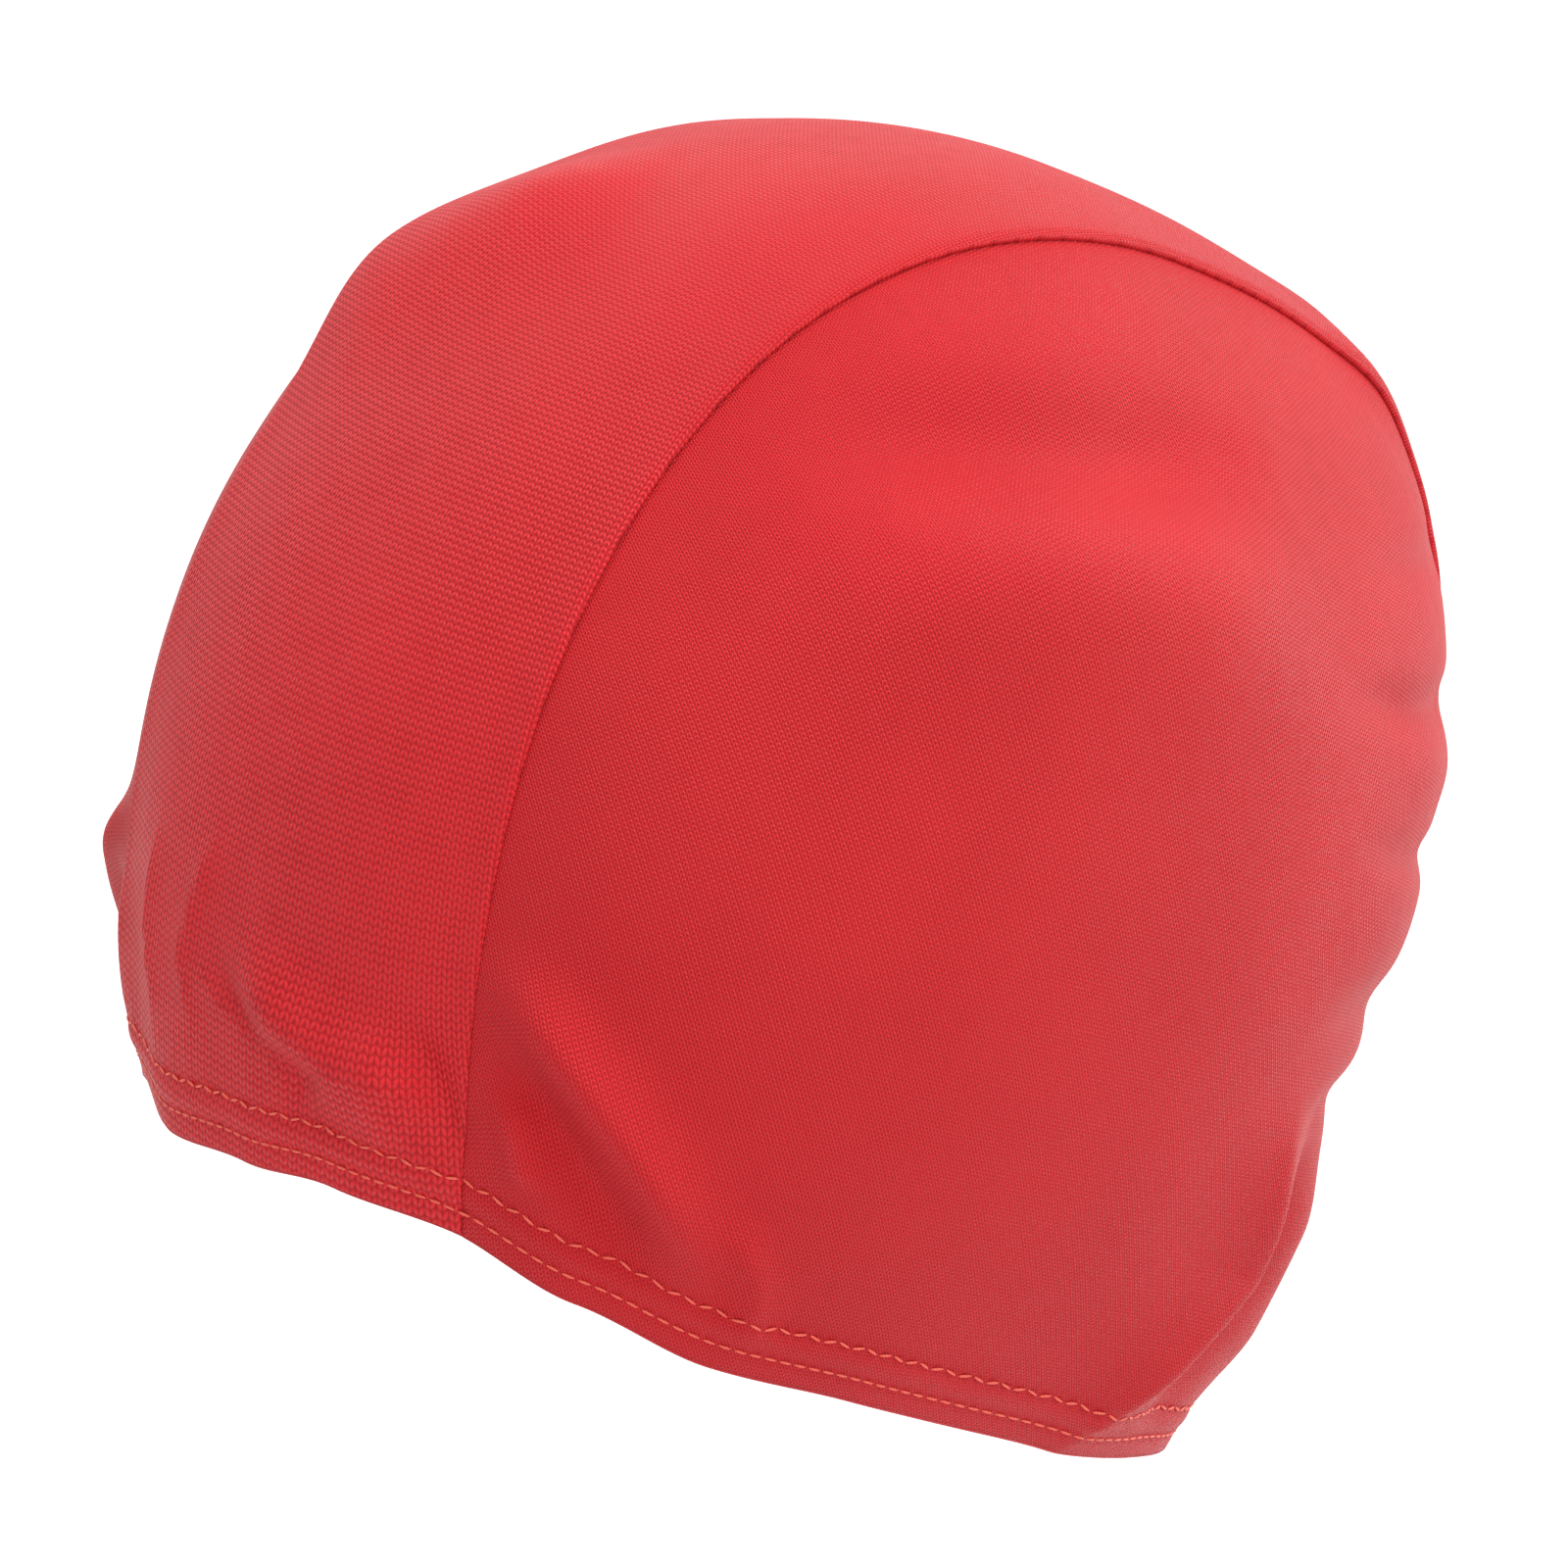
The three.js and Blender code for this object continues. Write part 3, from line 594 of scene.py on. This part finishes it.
def stitch_row(name, height, swing, form, cloth):
    """A row of thread stitches round the hem, each an ellipsoid half sunk in the cloth."""
    count = round(hem_perimeter(form) / cloth.stitch_pitch)
    wall = (form.widest_height + form.hem_dip / 2) / (1 - form.widest_share)
    turn = (np.arange(count) + 0.5) / count * 2 * math.pi - math.pi
    along = 0.5 * cloth.stitch_length / cloth.stitch_pitch * 2 * math.pi / count
    ends = []
    for side in (-1, 1):
        angle = turn + side * along
        down = 1 - (height + side * swing * np.where(np.arange(count) % 2, 1, -1)) / wall
        p, q = down * np.cos(angle), down * np.sin(angle)
        in_centre = np.abs(p) < seam_at(q, form)
        centre = cloth_point(p, q, "centre", form, cloth)
        aside = cloth_point(p, q, "side", form, cloth)
        ends.append(np.where(in_centre[:, None], centre, aside))
    out = outward(p, q, form) @ tilt_matrix(form)
    ball = bmesh.new()
    bmesh.ops.create_uvsphere(ball, u_segments=8, v_segments=8, radius=1.0)
    shape = bpy.data.meshes.new(name)
    ball.to_mesh(shape)
    ball.free()
    bm = bmesh.new()
    for start, end, normal in zip(ends[0], ends[1], out):
        run = Vector(end - start)
        side = run.cross(Vector(normal)).normalized()
        up = side.cross(run).normalized()
        turned = Matrix((run.normalized(), side, up)).transposed().to_4x4()
        size = Matrix.Diagonal((run.length / 2, cloth.thread / 2, cloth.thread / 2, 1))
        centre = Vector((start + end) / 2) + up * cloth.thread * STITCH_RISE
        stitch = shape.copy()
        stitch.transform(
            Matrix.Translation(centre) @ turned @ size @ Matrix.Rotation(math.pi / 2, 4, "Y"))
        bm.from_mesh(stitch)
        bpy.data.meshes.remove(stitch)
    bpy.data.meshes.remove(shape)
    piece = link_piece(name, bm, polyester_thread(cloth))
    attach(piece, "root")
    return piece


def linear(hex_colour):
    """A #RRGGBB colour as linear RGBA."""
    parts = [int(hex_colour[i:i + 2], 16) / 255 for i in (1, 3, 5)]
    return [c / 12.92 if c <= 0.04045 else ((c + 0.055) / 1.055) ** 2.4 for c in parts] + [1.0]


def add_node(tree, kind, settings=None, links=None):
    """Adds a node, sets its properties or input values, and links its inputs."""
    node = tree.nodes.new(kind)
    for key, value in (settings or {}).items():
        if isinstance(key, str) and hasattr(node, key):
            setattr(node, key, value)
        else:
            node.inputs[key].default_value = value
    for key, socket in (links or {}).items():
        tree.links.new(socket, node.inputs[key])
    return node


def maths(tree, operation, *values):
    """A Math node's output, from numbers or other nodes' outputs."""
    node = add_node(tree, "ShaderNodeMath", {"operation": operation})
    for i, value in enumerate(values):
        if isinstance(value, (int, float)):
            node.inputs[i].default_value = value
        else:
            tree.links.new(value, node.inputs[i])
    return node.outputs[0]


def new_material(name):
    """An empty node material."""
    material = bpy.data.materials.new(name)
    material.use_nodes = True
    material.node_tree.nodes.clear()
    return material, material.node_tree


def knitted_polyester(cloth):
    """Dyed polyester tricot knit: fine chevron loops with painted shade down between them, and a
    satin bloom at grazing angles.
    """
    known = bpy.data.materials.get("knitted_polyester")
    if known:
        return known
    material, tree = new_material("knitted_polyester")
    uv = add_node(tree, "ShaderNodeUVMap", {"uv_map": "UVMap"})
    split = add_node(tree, "ShaderNodeSeparateXYZ", links={0: uv.outputs[0]})
    # Loops: legs slant to both sides of each column, so a column reads as a row of chevrons
    wale = maths(tree, "MULTIPLY", split.outputs[0], 1 / cloth.wale)
    course = maths(tree, "MULTIPLY", split.outputs[1], 1 / cloth.course)
    centre = maths(tree, "ABSOLUTE", maths(tree, "SUBTRACT", maths(tree, "FRACT", wale), 0.5))
    slant = maths(tree, "ADD", course, centre)
    leg = maths(tree, "ABSOLUTE", maths(tree, "SUBTRACT", maths(tree, "FRACT", slant), 0.5))
    across = maths(tree, "SINE", maths(tree, "MULTIPLY", centre, 2 * math.pi))
    along = maths(tree, "SUBTRACT", 1.0, maths(tree, "MULTIPLY", leg, 1.6))
    loops = maths(tree, "MULTIPLY", maths(tree, "ADD", 0.35, across), along)
    # Uneven tension: the loops vary a little in height, in patches a few millimetres across
    place = add_node(tree, "ShaderNodeTexCoord").outputs["Object"]
    patches = add_node(
        tree, "ShaderNodeTexNoise", {"Scale": 260.0, "Detail": 2.0}, {"Vector": place})
    shades = add_node(
        tree, "ShaderNodeTexNoise", {"Scale": 28.0, "Detail": 3.0}, {"Vector": place})
    height = maths(tree, "MULTIPLY", loops, maths(tree, "ADD", 0.6, patches.outputs[0]))
    raised = maths(tree, "MULTIPLY", height, 0.75)
    # The colour runs from the darker red down between the loops to the fabric red on their tops.
    # The darkening is painted shade in the hollows, with a random tone from the large noise on top
    tone = maths(tree, "MULTIPLY_ADD", shades.outputs[0], 0.3, raised)
    ramp = add_node(tree, "ShaderNodeMapRange", {"From Min": 0.12, "From Max": 0.78}, {0: tone})
    dye_and_groove_shade = add_node(
        tree, "ShaderNodeMix",
        {"data_type": "RGBA", 6: linear(cloth.gap_shade_red), 7: linear(cloth.red)},
        {0: ramp.outputs[0]})
    rough = add_node(
        tree, "ShaderNodeMapRange", {"From Max": 1.0, "To Min": 0.60, "To Max": 0.36}, {0: height})
    bump = add_node(
        tree, "ShaderNodeBump", {"Strength": 0.9, "Distance": 0.22 * MM}, {"Height": height})
    shader = add_node(
        tree, "ShaderNodeBsdfPrincipled",
        {"Specular IOR Level": 0.17, "Sheen Weight": 0.05, "Sheen Roughness": 0.3,
         "Sheen Tint": linear(cloth.bloom)},
        {"Base Color": dye_and_groove_shade.outputs[2], "Roughness": rough.outputs[0], "Normal": bump.outputs[0]})
    add_node(tree, "ShaderNodeOutputMaterial", links={0: shader.outputs[0]})
    return material


def polyester_thread(cloth):
    """Spun polyester sewing thread: two plies that show as slanting ridges with painted shade down
    between them, a little shiny.
    """
    known = bpy.data.materials.get("polyester_thread")
    if known:
        return known
    material, tree = new_material("polyester_thread")
    place = add_node(tree, "ShaderNodeTexCoord").outputs["Object"]
    twist = add_node(
        tree, "ShaderNodeTexWave",
        {"wave_type": "BANDS", "bands_direction": "DIAGONAL", "Scale": 900.0, "Distortion": 1.5},
        {"Vector": place})
    # Painted shade: the colour turns darker and redder down in the grooves between the plies
    dye_and_groove_shade = add_node(
        tree, "ShaderNodeMix",
        {"data_type": "RGBA", 6: linear(cloth.red), 7: linear(cloth.thread_red)},
        {0: maths(tree, "MULTIPLY_ADD", twist.outputs[1], 0.35, 0.65)})
    bump = add_node(
        tree, "ShaderNodeBump", {"Strength": 0.5, "Distance": 0.08 * MM},
        {"Height": twist.outputs[1]})
    shader = add_node(
        tree, "ShaderNodeBsdfPrincipled",
        {"Roughness": 0.5, "Sheen Weight": 0.3, "Sheen Tint": linear(cloth.bloom)},
        {"Base Color": dye_and_groove_shade.outputs[2], "Normal": bump.outputs[0]})
    add_node(tree, "ShaderNodeOutputMaterial", links={0: shader.outputs[0]})
    return material


def matt_white(stage):
    """Matt white studio paper, even and without gloss."""
    material, tree = new_material("matt_white_paper")
    place = add_node(tree, "ShaderNodeTexCoord").outputs["Object"]
    grain = add_node(tree, "ShaderNodeTexNoise", {"Scale": 40.0, "Detail": 4.0}, {"Vector": place})
    tone = add_node(
        tree, "ShaderNodeMix",
        {"data_type": "RGBA", 6: linear(stage.paper_grain), 7: linear(stage.backdrop)},
        {0: grain.outputs[0]})
    shader = add_node(
        tree, "ShaderNodeBsdfPrincipled", {"Roughness": 0.9, "Specular IOR Level": 0.1},
        {"Base Color": tone.outputs[2]})
    add_node(tree, "ShaderNodeOutputMaterial", links={0: shader.outputs[0]})
    return material


# Softboxes: place in metres from the cap's middle, where each points, width, height, watts
SOFTBOXES = (
    ("top_softbox", (0.0, 0.15, 1.7), (0, 0, 0), 1.4, 1.4, 22.0),
    ("right_softbox", (0.72, 0.85, 1.0), (0, 0, 0), 0.7, 0.7, 8.0),
    ("rim_softbox", (0.0, 1.5, 0.08), (0, 0, 0), 0.8, 1.4, 8.0),
    ("front_softbox", (1.51, -0.49, 0.22), (0, 0, 0), 1.2, 1.2, 8.0),
    ("left_softbox", (-1.42, -0.12, 0.46), (0, 0, 0), 0.8, 1.2, 2.5),
    ("backdrop_softbox", (-2.8, 2.3, 0.3), (-2.8, 2.3, -1.0), 4.4, 4.4, 60.0),
)


def build_stage(stage):
    """The floor, the softboxes, the white surroundings and the camera."""
    bm = bmesh.new()
    bmesh.ops.create_grid(bm, x_segments=1, y_segments=1, size=14.0)
    bmesh.ops.translate(bm, verts=bm.verts, vec=(0, 0, CAD_BOX[0][2] - stage.floor_drop))
    floor = link_piece("studio_floor", bm, matt_white(stage))
    middle = (Vector(CAD_BOX[0]) + Vector(CAD_BOX[1])) / 2
    for name, place, target, width, height, watts in SOFTBOXES:
        light = bpy.data.lights.new(name, "AREA")
        light.shape = "RECTANGLE"
        light.size, light.size_y = width, height
        light.energy = watts
        lamp = bpy.data.objects.new(name, light)
        lamp.location = middle + Vector(place)
        lamp.rotation_euler = (Vector(target) - Vector(place)).to_track_quat("-Z", "Y").to_euler()
        bpy.context.scene.collection.objects.link(lamp)
    world = bpy.data.worlds.new("white_studio")
    world.use_nodes = True
    world.node_tree.nodes["Background"].inputs[0].default_value = linear(stage.backdrop)
    world.node_tree.nodes["Background"].inputs[1].default_value = stage.surround
    bpy.context.scene.world = world
    bpy.context.scene.view_settings.view_transform = "Standard"
    camera = bpy.data.cameras.new("camera")
    camera.lens = camera.sensor_width * stage.distance / stage.view_width
    holder = bpy.data.objects.new("camera", camera)
    a, e = stage.azimuth, stage.elevation
    toward = Vector((math.sin(a) * math.cos(e), -math.cos(a) * math.cos(e), math.sin(e)))
    holder.location = CAMERA_AIM + toward * stage.distance
    holder.rotation_euler = toward.to_track_quat("Z", "Y").to_euler()
    bpy.context.scene.collection.objects.link(holder)
    bpy.context.scene.camera = holder


class CAP_OT_centre_panel(bpy.types.Operator):
    """Make the centre panel, from the forehead over the crown to the nape"""
    bl_idname = "swim_cap.centre_panel"
    bl_label = "Centre panel"

    def execute(self, context):
        form, cloth = context.scene.cap_form, context.scene.cap_cloth
        cloth_panel("centre_panel_cloth", (72, 330), centre_disc, "centre", False,
                    "centre_panel", form, cloth)
        return {"FINISHED"}


class CAP_OT_side_panels(bpy.types.Operator):
    """Make the two side panels, one over each ear"""
    bl_idname = "swim_cap.side_panels"
    bl_label = "Side panels"

    def execute(self, context):
        form, cloth = context.scene.cap_form, context.scene.cap_cloth
        for side, mirrored in (("left", False), ("right", True)):
            cloth_panel(f"side_panel_cloth_{side}", (230, 120), side_disc, "side", mirrored,
                        f"side_panel_{side}", form, cloth)
        return {"FINISHED"}


class CAP_OT_hem(bpy.types.Operator):
    """Make the rolled edge and the cloth turned up inside it"""
    bl_idname = "swim_cap.hem"
    bl_label = "Turned hem"

    def execute(self, context):
        turned_hem((640, 24), context.scene.cap_form, context.scene.cap_cloth)
        return {"FINISHED"}


class CAP_OT_stitching(bpy.types.Operator):
    """Sew the two rows of stitches round the hem"""
    bl_idname = "swim_cap.stitching"
    bl_label = "Hem stitches"

    def execute(self, context):
        form, cloth = context.scene.cap_form, context.scene.cap_cloth
        stitch_row("hem_stitches_lower", cloth.lower_row, 0.0, form, cloth)
        stitch_row("hem_stitches_upper", cloth.upper_row, 0.25 * MM, form, cloth)
        return {"FINISHED"}


class CAP_OT_stage(bpy.types.Operator):
    """Set up the white floor, the soft lights and the camera"""
    bl_idname = "swim_cap.stage"
    bl_label = "Floor, light and camera"

    def execute(self, context):
        build_stage(context.scene.cap_stage)
        return {"FINISHED"}


class CAP_PT_swim_cap(bpy.types.Panel):
    """Lists the steps that make the cap, and its main sizes and colours"""
    bl_label = "Swim cap"
    bl_idname = "CAP_PT_swim_cap"
    bl_space_type = "VIEW_3D"
    bl_region_type = "UI"
    bl_category = "Swim cap"

    def draw(self, context):
        for step in STEPS:
            self.layout.operator(step.bl_idname)
        for group in GROUPS:
            settings = getattr(context.scene, group)
            for prop in GROUPS[group].__annotations__:
                self.layout.prop(settings, prop)


STEPS = (
    CAP_OT_stage, CAP_OT_centre_panel, CAP_OT_side_panels, CAP_OT_hem, CAP_OT_stitching,
)
GROUPS = {"cap_form": CapForm, "cap_cloth": CapCloth, "cap_stage": CapStage}


def register():
    for kind in (*GROUPS.values(), *STEPS, CAP_PT_swim_cap):
        bpy.utils.register_class(kind)
    for group, kind in GROUPS.items():
        setattr(bpy.types.Scene, group, PointerProperty(type=kind))


def unregister():
    for group in GROUPS:
        delattr(bpy.types.Scene, group)
    for kind in reversed((*GROUPS.values(), *STEPS, CAP_PT_swim_cap)):
        bpy.utils.unregister_class(kind)


def main():
    register()
    bpy.ops.swim_cap.stage()
    bpy.ops.swim_cap.centre_panel()
    bpy.ops.swim_cap.side_panels()
    bpy.ops.swim_cap.hem()
    bpy.ops.swim_cap.stitching()


if __name__ == "__main__":
    main()
